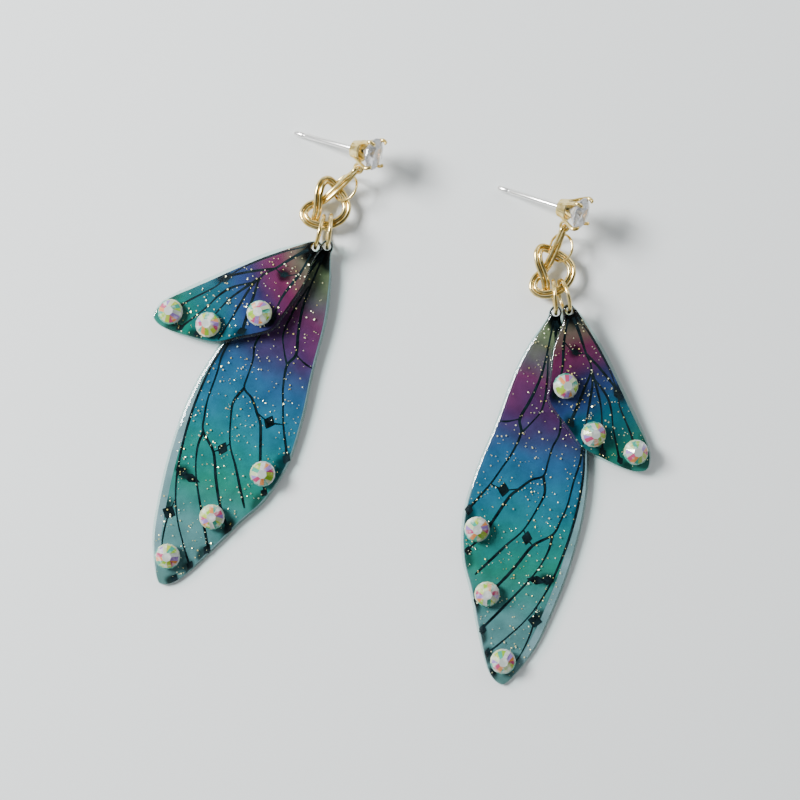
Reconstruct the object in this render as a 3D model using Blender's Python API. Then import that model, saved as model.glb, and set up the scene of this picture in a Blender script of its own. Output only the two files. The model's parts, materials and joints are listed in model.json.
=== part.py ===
"""A pair of fairy-wing drop earrings lying flat, as they lie on a table.

Each earring is an ear stud (post, prong basket, stone and eye), a knot bent from doubled wire, a keeper
ring, two jump rings and two resin wings with flat-back crystals. The wings of the two earrings mirror
each other. World frame: +Z up, the table is z = 0, +Y points from the wing tips to the studs.
"""

import math

import bmesh
import bpy
from mathutils import Matrix, Vector

MM = 0.001
FIT = 0.03 * MM  # the film of solder or glue between two pieces that are fixed together
PAIR_SHIFT = (-0.121 * MM, 0.085 * MM, -0.089 * MM)  # puts the pair's box centre over the origin, on z = 0

# Ear stud, along its own +X from the post to the stone; its eye hangs on its -Z side.
POST_LENGTH = 9.2 * MM
POST_RADIUS = 0.36 * MM
POST_TIP_RADIUS = 0.22 * MM
GROOVE_PLACE = 1.7 * MM  # from the post's tip to the groove that an ear nut clicks into
GROOVE_HALF = 0.2 * MM
GROOVE_RADIUS = 0.28 * MM
CUP_BASE_RADIUS = 1.15 * MM
CUP_RIM_RADIUS = 1.5 * MM
CUP_HEIGHT = 1.5 * MM
CUP_WALL = 0.35 * MM
CUP_FLOOR = 0.5 * MM
STONE_RADIUS = 2.1 * MM
GIRDLE_HEIGHT = 3.1 * MM
GIRDLE_THICKNESS = 0.14 * MM
CROWN_HEIGHT = 0.35 * MM
PAVILION_DEPTH = 1.75 * MM
STONE_TABLE_RADIUS = 1.15 * MM
PRONG_RADIUS = 0.25 * MM
EYE_RADIUS = 0.6 * MM
EYE_WIRE = 0.2 * MM
EYE_HEIGHT = 1.2 * MM

# Doubled knot wire, with the hairpin at its top that hooks the stud's eye.
KNOT_WIRE = 0.3 * MM
KNOT_WIRE_OFFSET = 0.28 * MM
HAIRPIN_RADIUS = 0.62 * MM

# Rings: centre-line radius and wire radius.
KEEPER_RADIUS = 1.8 * MM
KEEPER_WIRE = 0.18 * MM
WING_RING_RADIUS = 2.2 * MM
WING_RING_WIRE = 0.25 * MM

# Wings: three layers on top of each other, cast round a hole near the root.
HOLE_RADIUS = 0.52 * MM
PRINT_THICKNESS = 0.12 * MM
BIG_BACK_THICKNESS = 0.4 * MM
BIG_DOME_THICKNESS = 0.85 * MM
SMALL_BACK_THICKNESS = 0.3 * MM
SMALL_DOME_THICKNESS = 0.65 * MM
BACK_CHAMFER = 0.12 * MM
PRINT_INSET = 0.05 * MM
DOME_PROFILE = ((0.0, 0.0), (0.5, 0.02 * MM), (0.85, 0.2 * MM), (1.0, 0.5 * MM))  # share of height, inset
CRYSTAL_RADIUS = 1.68 * MM
CRYSTAL_HEIGHT = 1.25 * MM
CRYSTAL_EDGE = 0.2 * MM
CRYSTAL_BREAK_RADIUS = 1.02 * MM
CRYSTAL_TABLE_RADIUS = 0.78 * MM

# Outlines in millimetres from the ring hole: u towards the tip, v towards the trailing edge.
BIG_OUTLINE = (
    (-0.9, 0.0), (-0.65, 0.58), (0.0, 0.86), (1.0, 1.05), (4.5, 2.8), (9.0, 4.3), (15.4, 5.6), (21.5, 7.1),
    (27.8, 8.0), (33.5, 7.3), (37.7, 5.6), (42.3, 4.0), (47.5, 1.8), (49.3, 0.0), (48.7, -1.4), (44.6, -3.9),
    (40.5, -5.3), (33.0, -7.0), (25.0, -7.8), (18.0, -7.2), (10.0, -5.4), (4.5, -3.1), (1.0, -1.0),
    (0.0, -0.86), (-0.65, -0.58),
)
SMALL_OUTLINE = (
    (-0.95, 0.0), (-0.7, 0.62), (0.0, 0.95), (1.2, 1.9), (3.2, 4.2), (7.2, 7.1), (9.3, 8.2), (13.6, 7.6),
    (16.9, 7.0), (19.4, 5.2), (21.8, 3.2), (23.1, 1.5), (23.0, 0.1), (20.4, -1.2), (14.1, -1.6), (6.5, -1.8),
    (1.4, -1.25), (0.0, -0.95), (-0.7, -0.62),
)

# Route of the knot in millimetres round its opening, from below the hairpin to the tucked-in tail.
KNOT_ROUTE = (
    (0.87, 2.85, 2.4), (-0.6, 1.62, 1.75), (-1.75, 1.0, 1.28), (-3.05, 0.5, 1.35), (-3.75, -0.5, 1.55),
    (-3.15, -1.6, 1.82), (-1.65, -2.15, 2.02), (0.0, -1.95, 2.0), (1.34, -1.12, 1.9), (1.9, 0.1, 1.75),
    (1.62, 1.35, 1.6), (0.9, 2.45, 1.55), (0.1, 3.45, 1.65), (-0.6, 3.85, 1.9), (-1.3, 3.4, 2.2),
    (-1.72, 2.2, 2.3), (-1.83, 0.9, 2.12), (-1.95, -0.3, 1.72), (-2.3, -1.35, 1.27),
)
KEEPER_CENTRE = (1.75, 2.8, 2.02)
KEEPER_NORMAL = (-0.57, 0.32, 0.76)

# Where each earring lies, in millimetres and degrees. Knot: place, turn. Stud: foot of the basket,
# heading, rise. Wings: hole, heading, dip of the tip, roll. Rings: centre, normal.
EARRINGS = {
    "left": {
        "mirror": 1,
        "knot": ((-8.94, 25.86, 0.0), 0.0),
        "stud": ((-6.1, 33.5, 4.5), -18.0, 26.5),
        "big_wing": ((-9.6, 21.0, 1.25), 244.1, 1.35, 0.0),
        "small_wing": ((-10.98, 20.72, 2.84), 201.4, 5.2, 9.0),
        "big_ring": ((-9.32, 22.92, 2.54), (0.989, -0.12, -0.082)),
        "small_ring": ((-10.55, 22.82, 2.9), (0.963, -0.269, -0.026)),
        "big_crystals": ((30.4, 5.4), (38.4, 1.9), (45.6, -1.1)),
        "small_crystals": ((9.8, 5.5), (16.65, 4.4), (20.75, 0.95)),
    },
    "right": {
        "mirror": -1,
        "knot": ((20.6, 17.55, 0.0), 25.0),
        "stud": ((20.6, 25.95, 4.5), -20.4, 25.5),
        "big_wing": ((20.3, 12.4, 1.25), 261.3, 1.35, 0.0),
        "small_wing": ((21.85, 12.5, 2.9), 298.0, 5.2, 9.0),
        "big_ring": ((20.11, 14.34, 2.55), (0.996, 0.079, 0.034)),
        "small_ring": ((21.32, 14.42, 2.85), (0.953, 0.246, -0.177)),
        "big_crystals": ((29.6, 5.9), (37.8, 3.3), (46.2, -0.1)),
        "small_crystals": ((8.3, 5.2), (15.6, 4.9), (20.4, 1.0)),
    },
}


def material(name, colour, metallic, roughness, transmission=0.0):
    """A Principled material, made once and shared by the pieces of that finish."""
    found = bpy.data.materials.get(name)
    if found:
        return found
    made = bpy.data.materials.new(name)
    made.use_nodes = True
    shader = made.node_tree.nodes["Principled BSDF"]
    shader.inputs["Base Color"].default_value = (*colour, 1.0)
    shader.inputs["Metallic"].default_value = metallic
    shader.inputs["Roughness"].default_value = roughness
    shader.inputs["Transmission Weight"].default_value = transmission
    return made


FINISHES = {
    "gold": ("gold plated brass", (0.9, 0.66, 0.3), 1.0, 0.18),
    "steel": ("silver plated steel", (0.85, 0.85, 0.87), 1.0, 0.2),
    "stone": ("clear cubic zirconia", (0.95, 0.96, 1.0), 0.0, 0.02, 0.9),
    "crystal": ("iridescent flat back crystal", (0.85, 0.8, 0.95), 0.2, 0.05),
    "resin": ("clear casting resin", (0.75, 0.85, 0.85), 0.0, 0.05, 0.8),
    "print": ("printed wing film", (0.1, 0.32, 0.42), 0.0, 0.4),
}


def add(name, data, finish, parent=None, place=None):
    """Links an object with its finish, its place and its parent."""
    made = bpy.data.objects.new(name, data)
    bpy.context.scene.collection.objects.link(made)
    data.materials.clear()
    data.materials.append(material(*FINISHES[finish]))
    made.parent = parent
    if place is not None:
        made.matrix_basis = place
    return made


def mesh_from(bm, name):
    """Closes a bmesh into a mesh with its faces pointing outwards and smooth shading."""
    bmesh.ops.remove_doubles(bm, verts=bm.verts, dist=1e-7)
    bmesh.ops.recalc_face_normals(bm, faces=bm.faces)
    mesh = bpy.data.meshes.new(name)
    bm.to_mesh(mesh)
    bm.free()
    mesh.shade_smooth()
    mesh.set_sharp_from_angle(angle=math.radians(35))
    return mesh


def turned(name, profile, steps):
    """A solid of revolution about +X from (x, radius) points that start and end on the axis."""
    bm = bmesh.new()
    verts = [bm.verts.new((x, 0.0, radius)) for x, radius in profile]
    edges = [bm.edges.new(pair) for pair in zip(verts, verts[1:])]
    bmesh.ops.spin(
        bm, geom=verts + edges, axis=(1, 0, 0), cent=(0, 0, 0), angle=math.tau, steps=steps, use_merge=True
    )
    return mesh_from(bm, name)


def torus(name, radius, wire, steps, sides):
    """A closed ring of round wire about +Z."""
    bm = bmesh.new()
    upright = Matrix.Translation((radius, 0, 0)) @ Matrix.Rotation(math.pi / 2, 4, "X")
    circle = bmesh.ops.create_circle(bm, segments=sides, radius=wire, matrix=upright)
    geometry = circle["verts"] + list(bm.edges)
    bmesh.ops.spin(
        bm, geom=geometry, axis=(0, 0, 1), cent=(0, 0, 0), angle=math.tau, steps=steps, use_merge=True
    )
    return mesh_from(bm, name)


def boolean(target, cutter, operation):
    """Joins a hidden cutter to a solid, or takes it away, with a live modifier."""
    cutter.hide_render = True
    cutter.display_type = "WIRE"
    cut = target.modifiers.new(operation.lower(), "BOOLEAN")
    cut.operation = operation
    cut.object = cutter


def frame(origin, x_axis, z_hint):
    """A placing matrix with its +X along x_axis and its +Z as near z_hint as it can be."""
    x = Vector(x_axis).normalized()
    y = Vector(z_hint).cross(x).normalized()
    z = x.cross(y)
    turn = Matrix((x, y, z)).transposed().to_4x4()
    return Matrix.Translation(origin) @ turn


def span_points(a, b, c, d, steps):
    """Points from b up to c on the Catmull-Rom span whose neighbours are a and d."""
    found = []
    for step in range(steps):
        t = step / steps
        square = (2 * a - 5 * b + 4 * c - d) * t**2
        cube = (3 * b - a - 3 * c + d) * t**3
        found.append(0.5 * (2 * b + (c - a) * t + square + cube))
    return found


def smooth_open(points, spacing):
    """Evenly spaced points on a Catmull-Rom curve through the given points."""
    ends = [2 * points[0] - points[1], *points, 2 * points[-1] - points[-2]]
    dense = []
    for a, b, c, d in zip(ends, ends[1:], ends[2:], ends[3:]):
        dense += span_points(a, b, c, d, 12)
    dense.append(points[-1])
    walked, kept = 0.0, [dense[0]]
    for before, after in zip(dense, dense[1:]):
        walked += (after - before).length
        if walked >= spacing:
            kept.append(after)
            walked = 0.0
    if (kept[-1] - dense[-1]).length > 0.4 * spacing:
        kept.append(dense[-1])
    return kept


def smooth_closed(points, per_span):
    """Points on a closed Catmull-Rom outline through the given (u, v) points in millimetres."""
    found, count = [], len(points)
    corners = [Vector((u * MM, v * MM, 0.0)) for u, v in points]
    for i in range(count):
        found += span_points(*(corners[(i + k) % count] for k in (-1, 0, 1, 2)), per_span)
    return found


def plate(name, outline, levels):
    """A cast layer: the outline lofted through (height, inset) levels and capped at both ends."""
    count = len(outline)
    area = sum(a.x * b.y - b.x * a.y for a, b in zip(outline, outline[1:] + outline[:1]))
    inward = []
    for i in range(count):
        along = (outline[(i + 1) % count] - outline[i - 1]).normalized()
        inward.append(Vector((-along.y, along.x, 0.0)) * (1 if area > 0 else -1))
    bm = bmesh.new()
    rings = []
    for height, inset in levels:
        rings.append([bm.verts.new(p + n * inset + Vector((0, 0, height))) for p, n in zip(outline, inward)])
    for lower, upper in zip(rings, rings[1:]):
        for i in range(count):
            j = (i + 1) % count
            bm.faces.new((lower[i], lower[j], upper[j], upper[i]))
    bm.faces.new(rings[0])
    bm.faces.new(rings[-1])
    return mesh_from(bm, name)


def hole_cutter(name, parent, depth):
    """A round cutter for the ring hole through every layer of one wing."""
    bm = bmesh.new()
    bmesh.ops.create_cone(
        bm, segments=16, radius1=HOLE_RADIUS, radius2=HOLE_RADIUS, depth=3 * depth, cap_ends=True
    )
    return add(name, mesh_from(bm, name), "resin", parent)


def wing(side, size, spec, outline_points, back, dome):
    """One resin wing: back coat, printed film, front dome and its three crystals."""
    (x, y, z), heading, dip, roll = spec[f"{size}_wing"]
    mirror = spec["mirror"]
    pivot = bpy.data.objects.new(f"{side}_{size}_wing_pivot", None)
    bpy.context.scene.collection.objects.link(pivot)
    turn = (
        Matrix.Rotation(math.radians(heading), 4, "Z")
        @ Matrix.Rotation(math.radians(dip), 4, "Y")
        @ Matrix.Rotation(math.radians(roll) * mirror, 4, "X")
    )
    pivot.matrix_basis = Matrix.Translation((x * MM, y * MM, z * MM)) @ turn
    outline = smooth_closed([(u, v * mirror) for u, v in outline_points], 2)
    film = back + FIT
    front = film + PRINT_THICKNESS + FIT
    top = front + dome
    layers = (
        ("back", "resin", ((0.0, BACK_CHAMFER), (BACK_CHAMFER, 0.0), (back, 0.0))),
        ("print", "print", ((film, PRINT_INSET), (film + PRINT_THICKNESS, PRINT_INSET))),
        ("dome", "resin", tuple((front + share * dome, inset) for share, inset in DOME_PROFILE)),
    )
    cutter = hole_cutter(f"{side}_{size}_hole_cutter", pivot, top)
    for layer, finish, levels in layers:
        name = f"{side}_{size}_wing_{layer}"
        boolean(add(name, plate(name, outline, levels), finish, pivot), cutter, "DIFFERENCE")
    profile = (
        (0.0, 0.0), (0.0, CRYSTAL_RADIUS), (CRYSTAL_EDGE, CRYSTAL_RADIUS),
        (0.75 * CRYSTAL_HEIGHT, CRYSTAL_BREAK_RADIUS), (CRYSTAL_HEIGHT, CRYSTAL_TABLE_RADIUS),
        (CRYSTAL_HEIGHT, 0.0),
    )
    for number, (u, v) in enumerate(spec[f"{size}_crystals"], 1):
        name = f"{side}_{size}_wing_crystal_{number}"
        seat = Matrix.Translation((u * MM, v * MM * mirror, top + FIT))
        place = seat @ Matrix.Rotation(-math.pi / 2, 4, "Y")
        add(name, turned(name, profile, 12), "crystal", pivot, place)


def prong(name, angle, parent):
    """One claw wire from the cup's rim up past the girdle and over the crown's edge."""
    curve = bpy.data.curves.new(name, "CURVE")
    curve.dimensions = "3D"
    curve.bevel_depth = PRONG_RADIUS
    curve.bevel_resolution = 1
    curve.use_fill_caps = True
    girdle = STONE_RADIUS + PRONG_RADIUS + FIT
    claw_tip = GIRDLE_HEIGHT + CROWN_HEIGHT + 0.4 * MM
    route = (
        (0.8 * MM, CUP_RIM_RADIUS - 0.4 * MM),
        (CUP_HEIGHT + 0.1 * MM, CUP_RIM_RADIUS + 0.15 * MM),
        (GIRDLE_HEIGHT - 0.1 * MM, girdle),
        (GIRDLE_HEIGHT + 0.32 * MM, girdle),
        (claw_tip, girdle - 0.42 * MM),
    )
    spline = curve.splines.new("POLY")
    spline.points.add(len(route) - 1)
    for point, (x, radius) in zip(spline.points, route):
        point.co = (x, radius * math.cos(angle), radius * math.sin(angle), 1.0)
    wire = bpy.data.objects.new(name, curve)
    mesh = bpy.data.meshes.new_from_object(wire)
    bpy.data.objects.remove(wire)
    return add(name, mesh, "gold", parent)


def stud(side, spec):
    """The ear stud: post, prong basket, eye and stone, on one pivot at the eye's centre."""
    (x, y, z), heading, rise = spec["stud"]
    direction = Vector((math.cos(math.radians(heading)), math.sin(math.radians(heading)), 0.0))
    axis = direction * math.cos(math.radians(rise)) + Vector((0, 0, math.sin(math.radians(rise))))
    base = Vector((x, y, z)) * MM
    knot_place = knot_matrix(spec)
    stem = knot_place @ (Vector(KNOT_ROUTE[0]) * MM)
    place = frame(base, axis, base - stem)
    root = bpy.data.objects.new(f"{side}_stud_pivot", None)
    bpy.context.scene.collection.objects.link(root)
    cup_side = CUP_BASE_RADIUS + (CUP_RIM_RADIUS - CUP_BASE_RADIUS) * EYE_HEIGHT / CUP_HEIGHT
    drop = cup_side + EYE_RADIUS + EYE_WIRE + 2 * FIT
    eye = Vector((EYE_HEIGHT, 0.0, -drop))
    root.matrix_basis = place @ Matrix.Translation(eye)
    inside = Matrix.Translation(-eye)

    name = f"{side}_ear_post"
    tip, groove = -POST_LENGTH, -POST_LENGTH + GROOVE_PLACE
    post = (
        (tip, 0.0), (tip, POST_TIP_RADIUS), (tip + GROOVE_HALF, POST_RADIUS),
        (groove - GROOVE_HALF, POST_RADIUS), (groove, GROOVE_RADIUS), (groove + GROOVE_HALF, POST_RADIUS),
        (-FIT, POST_RADIUS), (-FIT, 0.0),
    )
    add(name, turned(name, post, 12), "steel", root, inside)

    name = f"{side}_prong_basket"
    inner = CUP_RIM_RADIUS - CUP_WALL
    cup = (
        (0.0, 0.0), (0.0, CUP_BASE_RADIUS), (CUP_HEIGHT, CUP_RIM_RADIUS), (CUP_HEIGHT, inner),
        (CUP_FLOOR, inner - 0.4 * MM), (CUP_FLOOR, 0.0),
    )
    basket = add(name, turned(name, cup, 20), "gold", root, inside)
    for number in range(4):
        angle = math.radians(45 + 90 * number)
        claw = prong(f"{side}_prong_{number}", angle, root)
        claw.matrix_basis = inside
        boolean(basket, claw, "UNION")

    name = f"{side}_stud_eye"
    flat = Matrix.Rotation(math.pi / 2, 4, "X")
    add(name, torus(name, EYE_RADIUS, EYE_WIRE, 16, 6), "gold", root, flat)

    name = f"{side}_stone"
    crown_foot = GIRDLE_HEIGHT + GIRDLE_THICKNESS
    stone = (
        (GIRDLE_HEIGHT - PAVILION_DEPTH, 0.0), (GIRDLE_HEIGHT, STONE_RADIUS), (crown_foot, STONE_RADIUS),
        (crown_foot + CROWN_HEIGHT, STONE_TABLE_RADIUS), (crown_foot + CROWN_HEIGHT, 0.0),
    )
    add(name, turned(name, stone, 16), "stone", root, inside)
    return root


def knot_matrix(spec):
    """Where the knot's own frame lies in the world."""
    (x, y, z), heading = spec["knot"]
    return Matrix.Translation((x * MM, y * MM, z * MM)) @ Matrix.Rotation(math.radians(heading), 4, "Z")


def knot(side, spec, stud_root):
    """The doubled-wire knot with the hairpin that runs through the stud's eye."""
    place = knot_matrix(spec)
    eye = place.inverted() @ stud_root.matrix_basis.translation
    below = Vector(KNOT_ROUTE[0]) * MM
    stem = (eye - below).normalized()
    hairpin = eye - stem * EYE_RADIUS
    stem_end = hairpin - stem * HAIRPIN_RADIUS
    route = [stem_end, *(Vector(point) * MM for point in KNOT_ROUTE)]
    points = smooth_open(route, 0.62 * MM)

    # The eye runs along the stud's axis there, so the hairpin's plane is square to it.
    post_axis = place.inverted().to_3x3() @ stud_root.matrix_basis.to_3x3().col[0]
    hole_axis = (post_axis - stem * post_axis.dot(stem)).normalized()
    level = Vector((0, 0, 1))
    upright = (level - stem * level.dot(stem)).normalized()
    twist = math.atan2(stem.dot(upright.cross(hole_axis)), upright.dot(hole_axis))

    bm = bmesh.new()
    turn_steps = 4
    half = []
    for step in range(turn_steps + 1):
        angle = -math.radians(66) + math.radians(132) * step / turn_steps
        half.append((KNOT_WIRE_OFFSET + KNOT_WIRE * math.cos(angle), KNOT_WIRE * math.sin(angle)))
    outline = half + [(-x, -y) for x, y in half]
    rings = []
    for index, point in enumerate(points):
        before, after = points[max(index - 1, 0)], points[min(index + 1, len(points) - 1)]
        along = (after - before).normalized()
        across = along.cross(level).normalized()
        over = across.cross(along)
        lean = -twist * max(0.0, 1.0 - index / 6)
        turn = Matrix.Rotation(lean, 3, along)
        across, over = turn @ across, turn @ over
        rings.append([bm.verts.new(point + across * x + over * y) for x, y in outline])
    for lower, upper in zip(rings, rings[1:]):
        for i in range(len(outline)):
            j = (i + 1) % len(outline)
            bm.faces.new((lower[i], lower[j], upper[j], upper[i]))
    bm.faces.new(rings[0])
    bm.faces.new(rings[-1])
    name = f"{side}_knot"
    made = add(name, mesh_from(bm, name), "gold", None, place)
    loop = add(
        f"{side}_hairpin", torus(f"{side}_hairpin", HAIRPIN_RADIUS, KNOT_WIRE, 18, 8), "gold", made,
        frame(hairpin, stem, hole_axis),
    )
    boolean(made, loop, "UNION")
    return made


def keeper_ring(side, spec):
    """The thin ring hooked round the knot's right loop."""
    centre = Vector(KEEPER_CENTRE) * MM
    normal = Vector(KEEPER_NORMAL)
    place = knot_matrix(spec) @ frame(centre, Vector((1, 0, 0)).cross(normal), normal)
    name = f"{side}_keeper_ring"
    add(name, torus(name, KEEPER_RADIUS, KEEPER_WIRE, 24, 6), "gold", None, place)


def wing_ring(side, size, spec):
    """A jump ring from inside the knot's opening to a wing's hole."""
    centre, normal = spec[f"{size}_ring"]
    name = f"{side}_{size}_ring"
    place = frame(Vector(centre) * MM, Vector((0, 1, 0)).cross(Vector(normal)), normal)
    add(name, torus(name, WING_RING_RADIUS, WING_RING_WIRE, 24, 8), "gold", None, place)


def main():
    """Builds both earrings."""
    for old in list(bpy.data.objects):
        bpy.data.objects.remove(old)
    pair = bpy.data.objects.new("pair", None)
    bpy.context.scene.collection.objects.link(pair)
    for side, spec in EARRINGS.items():
        root = stud(side, spec)
        knot(side, spec, root)
        keeper_ring(side, spec)
        wing_ring(side, "big", spec)
        wing_ring(side, "small", spec)
        wing(side, "big", spec, BIG_OUTLINE, BIG_BACK_THICKNESS, BIG_DOME_THICKNESS)
        wing(side, "small", spec, SMALL_OUTLINE, SMALL_BACK_THICKNESS, SMALL_DOME_THICKNESS)
    for made in bpy.data.objects:
        if made.parent is None and made != pair:
            made.parent = pair
    pair.location = PAIR_SHIFT
    bpy.context.view_layer.update()


main()
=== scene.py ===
"""Looks of a pair of fairy-wing drop earrings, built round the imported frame.

Every piece is made in metres in the frame's own axes. The frame's joints give the places that the
pieces hang from: the middle of each ring, each wing's hole and each stud's eye.
"""

import json
import logging
import math
import random
from dataclasses import dataclass
from enum import Enum

import bmesh
import bpy
from mathutils import Matrix, Vector


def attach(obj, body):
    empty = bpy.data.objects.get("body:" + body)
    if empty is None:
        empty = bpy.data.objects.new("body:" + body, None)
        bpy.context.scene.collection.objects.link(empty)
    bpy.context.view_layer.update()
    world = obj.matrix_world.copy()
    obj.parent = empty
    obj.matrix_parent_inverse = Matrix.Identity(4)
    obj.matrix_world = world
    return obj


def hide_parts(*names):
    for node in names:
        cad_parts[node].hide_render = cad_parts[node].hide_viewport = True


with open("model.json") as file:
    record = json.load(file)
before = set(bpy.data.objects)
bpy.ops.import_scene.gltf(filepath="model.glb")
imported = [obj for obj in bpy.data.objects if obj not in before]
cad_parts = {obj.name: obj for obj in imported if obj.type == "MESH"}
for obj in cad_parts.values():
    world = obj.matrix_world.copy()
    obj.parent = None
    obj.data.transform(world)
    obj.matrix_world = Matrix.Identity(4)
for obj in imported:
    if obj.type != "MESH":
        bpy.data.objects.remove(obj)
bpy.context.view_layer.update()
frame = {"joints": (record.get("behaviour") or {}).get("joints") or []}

LOG = logging.getLogger("earrings")
MM = 0.001
MERGE = 1e-7  # metres within which doubled points are merged
FLAT_DEGREES = 0.5  # angle up to which a cut stone's triangles are one facet
GAP = 0.03  # millimetres of glue or fit between pieces that are set on each other
PAIR_SHIFT = Vector((-0.121, 0.085, -0.089)) * MM  # brings the pair's middle to the frame's origin

Path2 = tuple[tuple[float, float], ...]


class Slot(Enum):
    """Finish slots of the record."""

    GOLD = "gold_plate"
    POST = "silver_post"
    STONE = "clear_stone"
    RESIN = "clear_resin"
    PRINT = "printed_film"
    CRYSTAL = "iridescent_crystal"


# ---------------------------------------------------------------- helpers


def linear(colour: str) -> tuple[float, float, float, float]:
    """Turns an sRGB hex colour into linear light.

    Args:
        colour: six hex digits, with or without a leading #.

    Returns:
        Red, green, blue and an alpha of 1.
    """
    digits = colour.lstrip("#")
    parts = [int(digits[i : i + 2], 16) / 255 for i in (0, 2, 4)]
    return (*[p / 12.92 if p <= 0.04045 else ((p + 0.055) / 1.055) ** 2.4 for p in parts], 1.0)


def joint(name: str) -> tuple[Vector, Vector]:
    """Finds a joint of the frame.

    Args:
        name: the joint's name.

    Returns:
        Its point and its unit axis, at rest.
    """
    found = next(j for j in frame["joints"] if j["name"] == name)
    return Vector(found["pos_m"]), Vector(found["axis"]).normalized()


def clamp(value: float) -> float:
    """Keeps a share between 0 and 1."""
    return min(1.0, max(0.0, value))


def add_node(
    tree: bpy.types.NodeTree,
    kind: str,
    inputs: dict[str | int, object] | None = None,
    stops: tuple[tuple[float, str], ...] = (),
    **settings: object,
) -> bpy.types.Node:
    """Adds one shader node.

    Args:
        tree: the material's node tree.
        kind: the node's type name without ShaderNode.
        inputs: socket name or number to a value, or to the socket that feeds it.
        stops: the places and sRGB hex colours of a colour ramp.
        settings: the node's own properties.

    Returns:
        The new node.
    """
    made = tree.nodes.new(f"ShaderNode{kind}")
    for name, value in settings.items():
        setattr(made, name, value)
    for key, value in (inputs or {}).items():
        if isinstance(value, bpy.types.NodeSocket):
            tree.links.new(value, made.inputs[key])
        else:
            made.inputs[key].default_value = value
    if stops:
        elements = made.color_ramp.elements
        while len(elements) < len(stops):
            elements.new(0.5)
        for element, (place, colour) in zip(elements, stops):
            element.position = place
            element.color = linear(colour)
    return made


def new_material(name: str) -> tuple[bpy.types.Material, bpy.types.NodeTree, bpy.types.Node]:
    """Starts a node material.

    Args:
        name: the material's name, after the real one.

    Returns:
        The material, its node tree and its output node.
    """
    made = bpy.data.materials.new(name)
    made.use_nodes = True
    made.node_tree.nodes.clear()
    return made, made.node_tree, add_node(made.node_tree, "OutputMaterial")


def deselect() -> None:
    """Leaves nothing selected, because operators act on everything that is."""
    if bpy.context.object and bpy.context.object.mode != "OBJECT":
        bpy.ops.object.mode_set(mode="OBJECT")
    bpy.ops.object.select_all(action="DESELECT")


def pick(made: bpy.types.Object) -> None:
    """Selects one object and makes it the active one.

    Args:
        made: the object.
    """
    deselect()
    made.select_set(True)
    bpy.context.view_layer.objects.active = made


def apply_modifier(made: bpy.types.Object, kind: str, **settings: object) -> None:
    """Adds a modifier to an object, sets it and applies it.

    Args:
        made: the object.
        kind: the modifier's type.
        settings: the modifier's own properties.
    """
    pick(made)
    modifier = made.modifiers.new(kind.lower(), kind)
    for name, value in settings.items():
        setattr(modifier, name, value)
    bpy.ops.object.modifier_apply(modifier=modifier.name)


def close_up(made: bpy.types.Object, merge: bool = True) -> None:
    """Merges a mesh's doubled points and turns its faces outwards.

    Args:
        made: the object.
        merge: whether doubled points are merged first.
    """
    pick(made)
    bpy.ops.object.mode_set(mode="EDIT")
    bpy.ops.mesh.select_all(action="SELECT")
    if merge:
        bpy.ops.mesh.remove_doubles(threshold=MERGE)
    bpy.ops.mesh.normals_make_consistent(inside=False)
    bpy.ops.object.mode_set(mode="OBJECT")


def settle(made: bpy.types.Object, name: str, place: Matrix, smooth: float | None = 35.0) -> None:
    """Puts a finished piece's place into its mesh and shades it.

    Args:
        made: the piece, in its own local frame.
        name: the piece's final name.
        place: the local frame's place in the earrings' frame.
        smooth: the edge angle in degrees up to which it is shaded smooth, or None for flat facets.
    """
    pick(made)
    bpy.ops.object.transform_apply(location=True, rotation=True, scale=True)
    made.data.transform(place)
    made.name = made.data.name = name
    if smooth is None:
        bpy.ops.object.shade_flat()
    else:
        bpy.ops.object.shade_smooth_by_angle(angle=math.radians(smooth))
    deselect()


def register(made: bpy.types.Object, body: str, slot: Slot, finish: bpy.types.Material, *nodes: str) -> None:
    """Dresses a piece, hangs it on its body and hides the CAD nodes that it stands for.

    Args:
        made: the finished piece.
        body: the frame's body that it moves with.
        slot: the record's finish slot; not used.
        finish: the material for a piece that has none yet.
        nodes: the CAD nodes that it replaces, if any.
    """
    if not made.data.materials:
        made.data.materials.append(finish)
    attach(made, body)
    if nodes:
        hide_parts(*nodes)
    LOG.info("%s rides on %s", made.name, body)


def frame_of(x_axis: Vector, z_hint: Vector, origin: Vector) -> Matrix:
    """Makes a placing matrix.

    Args:
        x_axis: where +X points.
        z_hint: where +Z points as nearly as it can.
        origin: where the origin lies.

    Returns:
        The matrix.
    """
    x = x_axis.normalized()
    y = z_hint.cross(x).normalized()
    turn = Matrix((x, y, x.cross(y))).transposed().to_4x4()
    return Matrix.Translation(origin) @ turn


def through(points: list[Vector], per_span: int, closed: bool = False) -> list[Vector]:
    """Draws a smooth (Catmull-Rom) curve through points.

    Args:
        points: the points that it passes.
        per_span: how many points it has from each of them to the next.
        closed: whether it runs on from the last point to the first.

    Returns:
        The curve's points.
    """
    count = len(points)
    if closed:
        ring = [[points[(i + k) % count] for k in (-1, 0, 1, 2)] for i in range(count)]
    else:
        ends = [2 * points[0] - points[1], *points, 2 * points[-1] - points[-2]]
        ring = [list(four) for four in zip(ends, ends[1:], ends[2:], ends[3:])]
    found = []
    for a, b, c, d in ring:
        for step in range(per_span):
            t = step / per_span
            bend, swing = 2 * a - 5 * b + 4 * c - d, 3 * b - a - 3 * c + d
            found.append(0.5 * (2 * b + (c - a) * t + bend * t**2 + swing * t**3))
    if not closed:
        found.append(points[-1].copy())
    return found


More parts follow.
